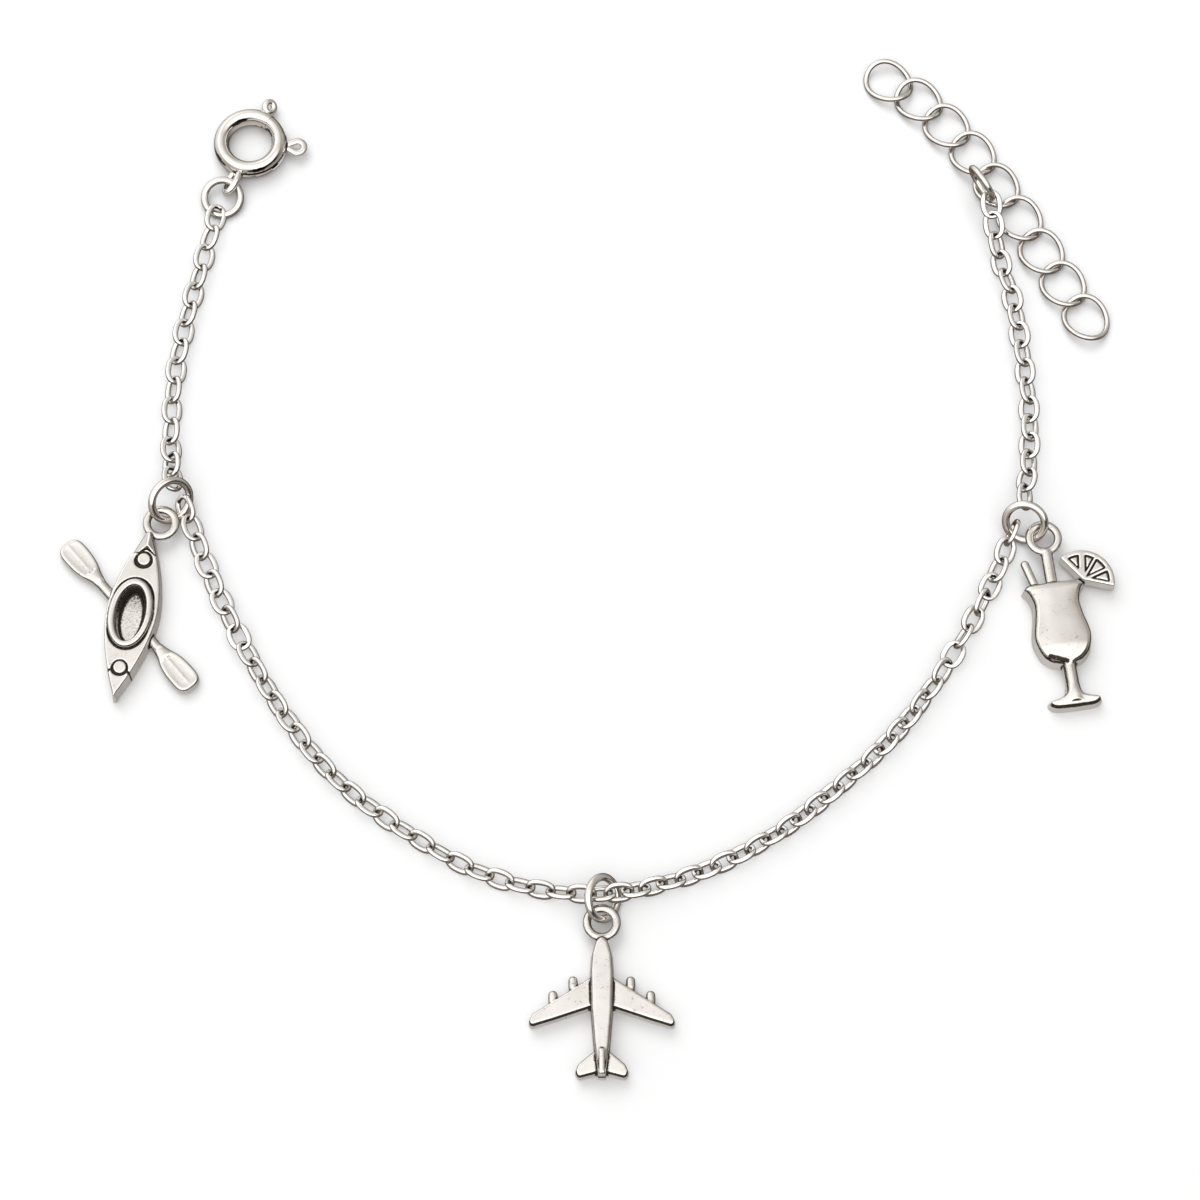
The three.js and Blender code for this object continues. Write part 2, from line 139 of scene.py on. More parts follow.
def new_material(name):
    made = bpy.data.materials.new(name)
    made.use_nodes = True
    made.node_tree.nodes.clear()
    tree = made.node_tree
    shader = tree.nodes.new("ShaderNodeBsdfPrincipled")
    output = tree.nodes.new("ShaderNodeOutputMaterial")
    tree.links.new(shader.outputs[0], output.inputs["Surface"])
    return made, tree, shader


def noise(tree, scale, detail, rough=0.5, stretch=None):
    spot = tree.nodes.new("ShaderNodeTexCoord")
    made = node(tree, "ShaderNodeTexNoise", Scale=scale, Detail=detail, Roughness=rough)
    source = spot.outputs["Object"]
    if stretch:
        mapping = tree.nodes.new("ShaderNodeMapping")
        mapping.inputs["Scale"].default_value = stretch
        tree.links.new(source, mapping.inputs["Vector"])
        source = mapping.outputs[0]
    tree.links.new(source, made.inputs["Vector"])
    return made.outputs["Fac"]


def remap(tree, source, from_low, from_high, to_low, to_high):
    made = tree.nodes.new("ShaderNodeMapRange")
    tree.links.new(source, made.inputs["Value"])
    limits = {"From Min": from_low, "From Max": from_high, "To Min": to_low, "To Max": to_high}
    for key, value in limits.items():
        made.inputs[key].default_value = value
    return made.outputs["Result"]


def maths(tree, kind, a, b):
    made = tree.nodes.new("ShaderNodeMath")
    made.operation = kind
    for socket, value in zip(made.inputs, (a, b)):
        if isinstance(value, (int, float)):
            socket.default_value = value
        else:
            tree.links.new(value, socket)
    return made.outputs[0]


def blend_colour(tree, factor, a, b):
    made = tree.nodes.new("ShaderNodeMix")
    made.data_type = "RGBA"
    tree.links.new(factor, made.inputs[0])
    for socket, value in zip((made.inputs[6], made.inputs[7]), (a, b)):
        if isinstance(value, tuple):
            socket.default_value = (*value, 1)
        else:
            tree.links.new(value, socket)
    return made.outputs[2]


def bump(tree, shader, height, strength, distance):
    made = tree.nodes.new("ShaderNodeBump")
    made.inputs["Strength"].default_value = strength
    made.inputs["Distance"].default_value = distance
    tree.links.new(height, made.inputs["Height"])
    tree.links.new(made.outputs[0], shader.inputs["Normal"])


def attribute(tree, name):
    made = tree.nodes.new("ShaderNodeAttribute")
    made.attribute_name = name
    return made.outputs["Fac"]


# how far a surface turns from the sky: 0 where it faces up more than `top`, 1 below `bottom`
def underside(tree, top, bottom):
    surface = tree.nodes.new("ShaderNodeNewGeometry")
    split = tree.nodes.new("ShaderNodeSeparateXYZ")
    tree.links.new(surface.outputs["Normal"], split.inputs[0])
    return remap(tree, split.outputs["Z"], top, bottom, 0, 1)


# the room is uneven, so its bands wander a little from side to side
def studio_light():
    world = bpy.data.worlds.new("studio")
    bpy.context.scene.world = world
    world.use_nodes = True
    tree = world.node_tree
    tree.nodes.clear()
    out = tree.nodes.new("ShaderNodeOutputWorld")
    back = tree.nodes.new("ShaderNodeBackground")
    split = tree.nodes.new("ShaderNodeSeparateXYZ")
    place = tree.nodes.new("ShaderNodeTexCoord")
    patches = node(tree, "ShaderNodeTexNoise", Scale=1.7, Detail=1.0)
    tree.links.new(place.outputs["Generated"], split.inputs[0])
    tree.links.new(place.outputs["Generated"], patches.inputs["Vector"])
    wander = remap(tree, patches.outputs["Fac"], 0.3, 0.7, -0.08, 0.08)
    height = remap(tree, maths(tree, "ADD", split.outputs["Z"], wander), -1, 1, 0, 1)
    corner = {}
    for name, levels in STUDIO.items():
        ramp = tree.nodes.new("ShaderNodeValToRGB")
        tree.links.new(height, ramp.inputs["Fac"])
        stops = ramp.color_ramp.elements
        while len(stops) < len(levels):
            stops.new(0.5)
        for stop, (rise, level) in zip(stops, levels):
            stop.position = (rise + 1) / 2
            warm = min(level, 1)
            tint = [dark + (light - dark) * warm for dark, light in zip(DARK_WARM, LIGHT_NEUTRAL)]
            stop.color = (*(level * channel for channel in tint), 1)
        corner[name] = ramp.outputs["Color"]
    right = remap(tree, split.outputs["X"], -0.35, 0.25, 0, 1)
    near = remap(tree, split.outputs["Y"], 0.35, -0.35, 0, 1)
    far_side = blend_colour(tree, right, corner["far_left"], corner["far_right"])
    near_side = blend_colour(tree, right, corner["near_left"], corner["near_right"])
    tree.links.new(blend_colour(tree, near, far_side, near_side), back.inputs["Color"])
    tree.links.new(back.outputs[0], out.inputs["Surface"])


studio_light()


UNDERSIDE_PAINTED_SHADE = (0.22, 0.18, 0.145)
PAINTED_SHADE_DARK = (0.035, 0.026, 0.020)
CAST_PALE = (0.83, 0.805, 0.77)
CAST_GREY = (0.74, 0.71, 0.67)
CAST_WEAR_HIGHLIGHT = (0.96, 0.945, 0.92)
CAST_DARK = (0.045, 0.036, 0.029)
BUMP_DEPTH = 0.00004


# polished plated wire: faint hazing, fine scratches and the soft dents of tumbling; its undersides get a
# painted shade, for the shadowed floor they would mirror, between the two upward slopes given to it
def bright_silver(name, tint, dents, shade_below, metal):
    made, tree, shader = new_material(name)
    shader.inputs["Metallic"].default_value = metal
    haze = noise(tree, 900, 3)
    colour = blend_colour(tree, remap(tree, haze, 0.35, 0.7, 0, 1), tint, tuple(c * 0.93 for c in tint))
    # painted shade and painted dark reflections where the attribute marks them, their edges broken up by
    # noise
    blotch = remap(tree, noise(tree, 2600, 2), 0.3, 0.7, -0.35, 0.35)
    darkening = remap(tree, maths(tree, "ADD", attribute(tree, "patina_and_shade"), blotch), 0.35, 0.65, 0, 1)
    # painted shade on the undersides: a darker colour where the surface turns towards the floor
    colour = blend_colour(tree, underside(tree, *shade_below), colour, UNDERSIDE_PAINTED_SHADE)
    tree.links.new(blend_colour(tree, darkening, colour, PAINTED_SHADE_DARK), shader.inputs["Base Color"])
    scratches = noise(tree, 5200, 4, 0.6, (1, 0.25, 1))
    tree.links.new(remap(tree, scratches, 0.3, 0.8, 0.03, 0.12), shader.inputs["Roughness"])
    bump(tree, shader, noise(tree, 1500, 2), dents, BUMP_DEPTH)
    return made


# cast and darkened metal: one attribute keeps the patina dark in grooves and corners and adds painted shade
# and painted dark reflections on edges and walls, the wall one leaves the sides as they were cast,
# unpolished, and the third brightens top edges
def antique_silver():
    made, tree, shader = new_material("antique_silver")
    patina_and_shade, wall, wear_and_highlight = (attribute(tree, name) for name in ("patina_and_shade", "wall", "wear_and_highlight"))
    grain = noise(tree, 5200, 3, 0.65)
    cloud = noise(tree, 420, 3)
    pits = remap(tree, noise(tree, 3600, 1.5), 0.30, 0.37, 1, 0)
    speckle = remap(tree, grain, 0.35, 0.65, -0.28, 0.28)
    # patina together with painted shade and painted dark reflections, speckled by the grain
    darkening = remap(tree, maths(tree, "ADD", patina_and_shade, speckle), 0.25, 0.80, 0, 1)
    specks = maths(tree, "MULTIPLY", pits, remap(tree, cloud, 0.45, 0.65, 0.0, 0.55))
    darkening = maths(tree, "MAXIMUM", darkening, specks)
    face = blend_colour(tree, remap(tree, cloud, 0.3, 0.7, 0, 1), CAST_PALE, CAST_GREY)
    # top edges brightened, partly as wear and partly as a painted highlight
    face = blend_colour(tree, wear_and_highlight, face, CAST_WEAR_HIGHLIGHT)
    tree.links.new(remap(tree, wall, 0, 1, 1, 0.72), shader.inputs["Metallic"])
    tree.links.new(blend_colour(tree, darkening, face, CAST_DARK), shader.inputs["Base Color"])
    rough = remap(tree, grain, 0.2, 0.8, 0.13, 0.24)
    rough = maths(tree, "ADD", rough, maths(tree, "MULTIPLY", wall, 0.32))
    rough = maths(tree, "ADD", rough, maths(tree, "MULTIPLY", darkening, 0.3))
    tree.links.new(rough, shader.inputs["Roughness"])
    relief = maths(tree, "MULTIPLY", grain, 0.25)
    relief = maths(tree, "SUBTRACT", relief, maths(tree, "MULTIPLY", specks, 0.8))
    bump(tree, shader, relief, 0.35, BUMP_DEPTH)
    return made


CHAIN = bright_silver("chain_silver", (0.975, 0.96, 0.94), 0.05, (0.76, 0.52), 0.85)
EXTENSION = bright_silver("extender_silver", (0.85, 0.815, 0.775), 0.05, (0.76, 0.38), 0.95)
CLASP = bright_silver("clasp_silver", (0.88, 0.85, 0.81), 0.05, (-0.1, -0.9), 1.0)
RINGS = bright_silver("ring_silver", (0.86, 0.825, 0.78), 0.06, (0.62, 0.20), 0.97)
ANTIQUE = antique_silver()

FLOOR_REACH = 3.0


def white_floor():
    material, tree, shader = new_material("white_sweep")
    shader.inputs["Roughness"].default_value = 0.7
    paper = remap(tree, noise(tree, 30, 2), 0.3, 0.7, 0.0, 1.0)
    colour = blend_colour(tree, paper, (0.577, 0.580, 0.587), (0.570, 0.573, 0.580))
    tree.links.new(colour, shader.inputs["Base Color"])
    mesh = bpy.data.meshes.new("floor")
    corners = [(-1, -1), (1, -1), (1, 1), (-1, 1)]
    mesh.from_pydata([(x * FLOOR_REACH, y * FLOOR_REACH, 0) for x, y in corners], [], [(0, 1, 2, 3)])
    mesh.materials.append(material)
    floor = add("floor", mesh)
    floor.visible_glossy = False


white_floor()


# ---------------------------------------------------------------- meshes

# vertices come in plan millimetres
def show(name, points, faces, material, body, replaces, marks=None, sharp=60):
    mesh = bpy.data.meshes.new(name)
    places = (np.asarray(points, float) + np.array(PLAN)) * MM
    mesh.from_pydata(places.tolist(), [], faces if isinstance(faces, list) else faces.tolist())
    mesh.materials.append(material)
    mesh.polygons.foreach_set("use_smooth", [True] * len(mesh.polygons))
    if sharp:
        mesh.set_sharp_from_angle(angle=math.radians(sharp))
    for mark, values in (marks or {}).items():
        layer = mesh.attributes.new(mark, "FLOAT", "POINT")
        layer.data.foreach_set("value", np.asarray(values, np.float32))
    mesh.update()
    piece = add(name, mesh)
    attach(piece, body)
    for cad_node in replaces:
        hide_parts(cad_node)
    return piece


def smooth(low, high, value):
    t = np.clip((value - low) / (high - low), 0, 1)
    return t * t * (3 - 2 * t)


def unit(rows):
    return rows / np.linalg.norm(rows, axis=-1, keepdims=True)


# a cosine or sine wave filled out towards a square one
def squared(wave, square):
    return np.sign(wave) * np.abs(wave) ** (2.0 / square)


# the four weights of a smooth curve at the share `s` of a span: two for its ends, two for its slopes
def curve_weights(s):
    start, start_slope = 2 * s ** 3 - 3 * s ** 2 + 1, s ** 3 - 2 * s ** 2 + s
    end, end_slope = -2 * s ** 3 + 3 * s ** 2, s ** 3 - s ** 2
    return start, start_slope, end, end_slope


# a wire: `path` rows are its centre line, `outward` its in-plane direction at each row, `across` and
# `thick` its half sizes there, and `square` how flat its faces are
def wire(path, outward, across, thick, sides=16, square=2.0, closed=True):
    steps = len(path)
    if closed:
        along = unit(np.roll(path, -1, 0) - np.roll(path, 1, 0))
    else:
        along = unit(np.gradient(path, axis=0))
    side = unit(outward - (outward * along).sum(1, keepdims=True) * along)
    lift = np.cross(along, side)
    angle = np.arange(sides) * TAU / sides
    u = squared(np.cos(angle), square)[None, :, None]
    v = squared(np.sin(angle), square)[None, :, None]
    across = np.broadcast_to(across, steps)[:, None, None]
    thick = np.broadcast_to(thick, steps)[:, None, None]
    points = path[:, None] + across * u * side[:, None] + thick * v * lift[:, None]
    rows = steps if closed else steps - 1
    faces = []
    for i in range(rows):
        near, far = i * sides, ((i + 1) % steps) * sides
        for j in range(sides):
            nxt = (j + 1) % sides
            faces.append((near + j, near + nxt, far + nxt, far + j))
    if not closed:
        faces.append(tuple(range(sides))[::-1])
        faces.append(tuple((steps - 1) * sides + j for j in range(sides)))
    return points.reshape(-1, 3), faces


def gather(parts):
    points, faces, start = [], [], 0
    for part_points, part_faces in parts:
        points.append(part_points)
        faces.extend(tuple(start + i for i in face) for face in part_faces)
        start += len(part_points)
    return np.concatenate(points), faces


def turned(points, matrix):
    return np.asarray(points) @ np.array(matrix.to_3x3()).T + np.array(matrix.to_translation())


# a smooth curve through rows (number, x, y, z), read at any link number
def route(rows):
    rows = np.array(rows, float)
    number, places = rows[:, 0], rows[:, 1:]
    slope = np.gradient(places, number, axis=0)

    def at(t):
        i = int(np.clip(np.searchsorted(number, t, side="right") - 1, 0, len(number) - 2))
        span = number[i + 1] - number[i]
        s = (t - number[i]) / span
        a, b, c, d = curve_weights(s)
        return a * places[i] + b * span * slope[i] + c * places[i + 1] + d * span * slope[i + 1]

    return at


# ---------------------------------------------------------------- chain links

LINK = {"long": 3.42, "wide": 2.60, "leg": 0.64, "tip": 0.52, "thick": 0.52, "round": 2.4, "flat": 2.6}
LINK_STEPS, LINK_SIDES = 40, 14
SWAY = 4


def link_shape():
    angle = np.arange(LINK_STEPS) * TAU / LINK_STEPS
    half_long = (LINK["long"] - LINK["tip"]) / 2
    half_wide = (LINK["wide"] - LINK["leg"]) / 2
    x = half_long * squared(np.cos(angle), LINK["round"])
    y = half_wide * squared(np.sin(angle), LINK["round"])
    path = np.stack([x, y, np.zeros_like(x)], 1)
    outward = np.stack([np.cos(angle) * half_wide, np.sin(angle) * half_long, np.zeros_like(x)], 1)
    width = LINK["tip"] + (LINK["leg"] - LINK["tip"]) * np.sin(angle) ** 2
    points, faces = wire(path, outward, width / 2, LINK["thick"] / 2, LINK_SIDES, LINK["flat"])
    # painted shade inside the two bends, where the neighbouring links cross over them
    inward = -np.cos(np.arange(LINK_SIDES) * TAU / LINK_SIDES)[None]
    bend = np.abs(np.cos(angle))[:, None]
    return points, faces, (smooth(0.55, 0.95, bend) * smooth(-0.3, 0.7, inward) * 0.75).ravel()


# columns: link number, x, y, z of its middle; the numbers run from the clasp round to the extender.
# x and y start from places read off the photo by eye, turned into millimetres by another program.
# Odd and even links are rolled by the angles given at some of the numbers, the chain's inner side up.
# The last link of the extender's run is lifted to the ring that stands there.
RUNS = {
    "chain_run_clasp": {
        "rows": [
            (1, -44.7, 46.9, 1.0), (4, -46.4, 39.4, 1.0), (7, -47.9, 32.4, 1.0), (10, -48.8, 25.2, 1.0),
            (13, -48.8, 17.8, 1.1), (15, -48.4, 13.9, 2.0),
        ],
        "count": 15, "odd": [(1, -32)], "even": [(2, 41)],
    },
    "chain_run_middle": {
        "rows": [
            (1, -46.9, 10.5, 1.2), (5, -43.4, 1.6, 1.0), (9, -39.3, -6.8, 1.0), (13, -34.6, -14.6, 1.0),
            (17, -28.9, -21.6, 1.0), (21, -21.6, -27.3, 1.0), (25, -13.2, -32.1, 1.0),
            (28, -6.5, -34.1, 1.05), (31, 0.1, -34.8, 1.9), (34, 5.8, -33.8, 1.4), (37, 11.7, -31.8, 1.0),
            (41, 19.1, -27.9, 1.0), (45, 25.5, -23.0, 1.0), (49, 31.7, -17.3, 1.0), (53, 36.9, -10.8, 1.0),
            (57, 41.8, -2.7, 1.0), (60, 44.8, 3.3, 1.0), (62, 46.5, 7.6, 1.3),
        ],
        "count": 62,
        "odd": [
            (1, 40), (7, 50), (9, 143), (25, 134), (37, 144), (53, 142), (55, 178), (57, 206), (61, 204),
        ],
        "even": [
            (2, -24), (6, -15), (8, 6), (10, 49), (38, 54), (54, 50), (56, 120), (58, 66), (60, 134),
            (62, 112),
        ],
    },
    "chain_run_extender": {
        "rows": [
            (1, 48.0, 11.7, 2.0), (3, 48.7, 16.2, 1.1), (6, 49.0, 22.8, 1.0), (9, 48.5, 29.8, 1.0),
            (12, 47.6, 36.6, 1.0), (15, 46.0, 43.4, 1.05), (17, 45.40, 47.88, 2.6),
        ],
        "count": 17, "odd": [(1, 43), (15, 43), (17, 8)], "even": [(2, -30)],
    },
}


def chain_run(run):
    at = route(run["rows"])
    shape_points, shape_faces, shape_dark = link_shape()
    parts = []
    for number in range(1, run["count"] + 1):
        here = at(number)
        step = at(number + 0.5) - at(number - 0.5)
        heading = math.atan2(step[1], step[0])
        climb = -math.atan2(step[2], math.hypot(step[0], step[1]))
        sway = SWAY * math.sin(number * 2.1)
        numbers, rolls = zip(*run["odd" if number % 2 else "even"])
        roll = math.radians(np.interp(number, numbers, rolls) + sway)
        resting = (LINK["wide"] - LINK["leg"]) / 2 * abs(math.sin(roll)) + LINK["leg"] / 2
        here[2] = max(here[2], resting)
        place = (
            Matrix.Translation(Vector(here))
            @ Matrix.Rotation(heading + math.radians(sway * 0.4), 4, "Z")
            @ Matrix.Rotation(climb, 4, "Y")
            @ Matrix.Rotation(roll, 4, "X")
        )
        parts.append((turned(shape_points, place), shape_faces))
    return *gather(parts), np.tile(shape_dark, run["count"])


for run_name, run in RUNS.items():
    points, faces, dark = chain_run(run)
    links_name = run_name.replace("chain_run", "links")
    marks = {"patina_and_shade": dark}
    links = show(links_name, points, faces, CHAIN, "anklet", [run_name], marks)
    # the two lamps cast no shadow of these thin links: only the light from all round shades the floor
    links.visible_shadow = False


# ---------------------------------------------------------------- jump rings

# columns: node, middle, radius, lean, the heading towards which the ring dips, wire. Fits and searches
# in other programs gave these poses, so they aren't worked out from the pieces that each ring joins.
# The wires, and the airplane ring's radius and lean, were set one by one.
JUMP_RINGS = [
    ("jump_ring_clasp", (-44.0, 49.59, 0.83), 2.1, 11.9, 270.4, 0.82),
    ("jump_ring_kayak", (-48.46, 11.13, 2.3), 2.38, 51.8, 313.7, 0.88),
    ("jump_ring_airplane", (0.292, -35.328, 2.058), 2.3, 49.0, 345.3, 0.88),
    ("jump_ring_cocktail", (47.93, 8.57, 2.1), 2.22, 49.0, 249.7, 0.88),
    ("jump_ring_extender", (44.33, 50.34, 3.16), 2.09, 81.4, 32.7, 0.72),
]


def circle(radius, steps):
    angle = np.arange(steps) * TAU / steps
    return np.stack([np.cos(angle), np.sin(angle), np.zeros(steps)], 1) * radius


for ring_name, at, radius, lean, heading, thick in JUMP_RINGS:
    path = circle(radius, 96)
    points, faces = wire(path, path, thick / 2, thick / 2, 20)
    place = (
        Matrix.Translation(Vector(at))
        @ Matrix.Rotation(math.radians(heading), 4, "Z")
        @ Matrix.Rotation(math.radians(lean), 4, "Y")
    )
    show(ring_name.replace("jump_ring", "ring"), turned(points, place), faces, RINGS, "anklet", [ring_name])


# ---------------------------------------------------------------- extender links

EXTENDER = {"wire": 0.58, "half_long": 2.74, "half_wide": 2.37, "twist": -0.44, "rest": 0.74}
# the links' middles, which start from places read off the photo as the chain's do
EXTENDER_AT = [
    (34.0, 64.7), (37.5, 62.2), (40.7, 58.8), (43.65, 55.2), (46.3, 51.05), (48.85, 46.85),
    (51.2, 42.65), (53.55, 38.5), (56.0, 34.3),
]


def extender_shape(steps=80):
    angle = np.arange(steps) * TAU / steps
    x = EXTENDER["half_long"] * np.cos(angle)
    y = EXTENDER["half_wide"] * np.sin(angle)
    z = EXTENDER["twist"] * np.sin(2 * angle)
    path = np.stack([x, y, z], 1)
    outward = np.stack([np.cos(angle), np.sin(angle), np.zeros(steps)], 1)
    return wire(path, outward, EXTENDER["wire"] / 2, EXTENDER["wire"] / 2, 18)


for i, (x, y) in enumerate(EXTENDER_AT):
    before = EXTENDER_AT[max(i - 1, 0)]
    after = EXTENDER_AT[min(i + 1, len(EXTENDER_AT) - 1)]
    heading = math.atan2(after[1] - before[1], after[0] - before[0])
    points, faces = extender_shape()
    place = Matrix.Translation(Vector((x, y, EXTENDER["rest"]))) @ Matrix.Rotation(heading, 4, "Z")
    show(f"extender_{i + 1}", turned(points, place), faces, EXTENSION, "anklet", [f"extender_link_{i + 1}"])


# ---------------------------------------------------------------- clasp

CLASP_AT = Vector((-40.9, 56.4, 1.25))
SHELL = {"radius": 3.385, "high": 1.25, "wall": 0.89, "skin": 0.07, "from": 50, "to": 372}
BOLT = {"high": 1.16, "wall": 0.80, "from": -38, "to": 53}
SLOT = {"from": -52, "to": 4, "high": 0.40}
SEAM = {"from": -108, "to": -79, "deep": 0.16}
TRIGGER = {"heading": -5.0, "neck": 3.9, "middle": 5.55, "radius": 0.75, "wire": 0.385, "thick": 0.29}
EYE_LOOP = {"heading": 248.0, "at": 5.18, "long": 1.6, "short": 0.90, "wire": 0.40, "roll": 50, "up": -0.05}
TAB_LOOP = {"heading": 66, "at": 5.15, "long": 0.60, "short": 0.54, "wire": 0.40, "roll": 35, "up": 0.0}
EYE_SOLDER = {"radius": 4.30, "sizes": (0.36, 0.42, 0.40)}
TAB_SOLDER = {"radius": 4.42, "sizes": (0.34, 0.44, 0.40)}
# painted dark reflections and shade on the shell: heading and its spread, place round the section (0
# outermost,
# 90 on top, 180 innermost) and its spread, strength
PAINTED_DARK_ACCENTS = (
    (120, 24, 138, 13, 1.2), (28, 22, 178, 30, 1.2), (60, 30, 200, 30, 0.5), (-74, 17, 44, 10, 1.3),
    (211, 20, 26, 12, 1.3), (-64, 54, 19, 6, 1.3), (-8, 9, 10, 14, 1.0), (252, 9, 10, 30, 0.9),
)


# the shell's skins run round the section, leave the slot open, and meet at the slot and at the ends
def hollow_arc(radius, high, wall, skin, start, stop):
    steps, sides = 230, 48
    angle = np.radians(np.linspace(start, stop, steps))
    around = np.arange(sides) * TAU / sides
    heading = np.degrees(angle) - 360
    slot_lines = [i for i in range(steps) if SLOT["from"] < heading[i] < SLOT["to"]]
    slot_rows = [
        j for j in range(sides)
        if abs(math.sin(around[j]) * high) < SLOT["high"] and math.cos(around[j]) > 0
    ]
    points = []
    on_seam = (heading > SEAM["from"]) & (heading < SEAM["to"])
    groove = SEAM["deep"] * on_seam[:, None] * (np.arange(sides) == 0)[None]
    for inset in (0, skin):
        out = radius + (wall - inset) * np.cos(around)[None] - groove
        rise = high - inset
        points.append(np.stack([
            out * np.cos(angle)[:, None], out * np.sin(angle)[:, None],
            np.broadcast_to(rise * np.sin(around)[None], (steps, sides)),
        ], 2).reshape(-1, 3))
    count = steps * sides
    open_cells = {(i, j) for i in slot_lines[:-1] for j in slot_rows if (j + 1) % sides in slot_rows}
    faces = []
    for i in range(steps - 1):
        for j in range(sides):
            nxt = (j + 1) % sides
            near, far = i * sides, (i + 1) * sides
            if (i, j) in open_cells:
                edges = (
                    ((i - 1, j), near + nxt, near + j), ((i + 1, j), far + j, far + nxt),
                    ((i, (j - 1) % sides), near + j, far + j), ((i, nxt), far + nxt, near + nxt),
                )
                for cell, a, b in edges:
                    if cell not in open_cells:
                        faces.append((a, b, b + count, a + count))
                continue
            faces.append((near + j, far + j, far + nxt, near + nxt))
            faces.append((near + nxt + count, far + nxt + count, far + j + count, near + j + count))
    last = (steps - 1) * sides
    for j in range(sides):
        nxt = (j + 1) % sides
        faces.append((j, nxt, nxt + count, j + count))
        faces.append((last + nxt, last + j, last + j + count, last + nxt + count))
    return np.concatenate(points), faces


def arc(radius, high, wall, start, stop, steps=90, sides=32):
    angle = np.radians(np.linspace(start, stop, steps))
    path = np.stack([np.cos(angle), np.sin(angle), np.zeros(steps)], 1) * radius
    ends = np.clip(np.minimum(np.arange(steps), np.arange(steps)[::-1]) / 3, 0, 1)
    shrink = 0.8 + 0.2 * np.sqrt(1 - (1 - ends) ** 2)
    return wire(path, path, wall * shrink, high * shrink, sides, closed=False)


def radial_loop(loop, steps=64):
    angle = np.arange(steps) * TAU / steps
    path = np.stack([loop["long"] * np.cos(angle), loop["short"] * np.sin(angle), np.zeros(steps)], 1)
    outward = np.stack([loop["short"] * np.cos(angle), loop["long"] * np.sin(angle), np.zeros(steps)], 1)
    points, faces = wire(path, outward, loop["wire"], loop["wire"], 18)
    place = (
        Matrix.Rotation(math.radians(loop["heading"]), 4, "Z")
        @ Matrix.Translation(Vector((loop["at"], 0, loop["up"])))
        @ Matrix.Rotation(math.radians(loop["roll"]), 4, "X")
    )
    return turned(points, place), faces


# a blob of solder, flattened against what it joins
def solder(place, sizes, rings=14, sides=20):
    points = [(0, 0, -1)]
    for i in range(1, rings):
        polar = math.pi * i / rings
        for j in range(sides):
            turn = TAU * j / sides
            across = math.sin(polar)
            points.append((across * math.cos(turn), across * math.sin(turn), -math.cos(polar)))
    points.append((0, 0, 1))
    top = len(points) - 1
    faces = []
    for j in range(sides):
        nxt = (j + 1) % sides
        faces.append((0, 1 + nxt, 1 + j))
        faces.append((top, top - sides + j, top - sides + nxt))
        for i in range(rings - 2):
            a, b = 1 + i * sides, 1 + (i + 1) * sides
            faces.append((a + j, a + nxt, b + nxt, b + j))
    return np.array(points) * np.array(sizes) + np.array(place), faces


def on_ring(radius, heading):
    return (radius * math.cos(math.radians(heading)), radius * math.sin(math.radians(heading)), 0)


# a round end that runs back in two straight legs to the neck
def teardrop(steps=84):
    reach = TRIGGER["middle"] - TRIGGER["neck"]
    touch = math.pi - math.acos(TRIGGER["radius"] / reach)
    leg = math.sqrt(reach ** 2 - TRIGGER["radius"] ** 2)
    turn = TRIGGER["radius"] * 2 * touch
    path = []
    for walked in np.linspace(0, 2 * leg + turn, steps, endpoint=False):
        if walked < leg:
            share = walked / leg
            end = np.array([math.cos(touch), -math.sin(touch)]) * TRIGGER["radius"]
            path.append(np.array([-reach, 0]) * (1 - share) + end * share)
        elif walked < leg + turn:
            angle = -touch + (walked - leg) / TRIGGER["radius"]
            path.append(np.array([math.cos(angle), math.sin(angle)]) * TRIGGER["radius"])
        else:
            share = (walked - leg - turn) / leg
            end = np.array([math.cos(touch), math.sin(touch)]) * TRIGGER["radius"]
            path.append(end * (1 - share) + np.array([-reach, 0]) * share)
    path = np.column_stack([np.array(path) + (TRIGGER["middle"], 0), np.zeros(steps)])
    forward = np.roll(path, -1, 0) - np.roll(path, 1, 0)
    outward = np.stack([forward[:, 1], -forward[:, 0], np.zeros(steps)], 1)
    points, faces = wire(path, outward, TRIGGER["wire"], TRIGGER["thick"], 18)
    return turned(points, Matrix.Rotation(math.radians(TRIGGER["heading"]), 4, "Z")), faces


# how dark the painted reflections and shade make each point of the shell or bolt, by its heading and its
# place round the section
def shell_dark_accents(points):
    heading = np.degrees(np.arctan2(points[:, 1], points[:, 0]))
    out = np.hypot(points[:, 0], points[:, 1]) - SHELL["radius"]
    section = np.degrees(np.arctan2(points[:, 2] / SHELL["high"], out / SHELL["wall"]))
    dark = np.zeros(len(points))
    for at, spread, place, width, strength in PAINTED_DARK_ACCENTS:
        aside = np.abs((heading - at + 180) % 360 - 180) / spread
        above = np.abs((section - place + 180) % 360 - 180) / width
        dark = np.maximum(dark, strength * smooth(1.25, 0.6, np.hypot(aside, above)))
    return np.where(out < SHELL["wall"] * 1.15, dark, 0)


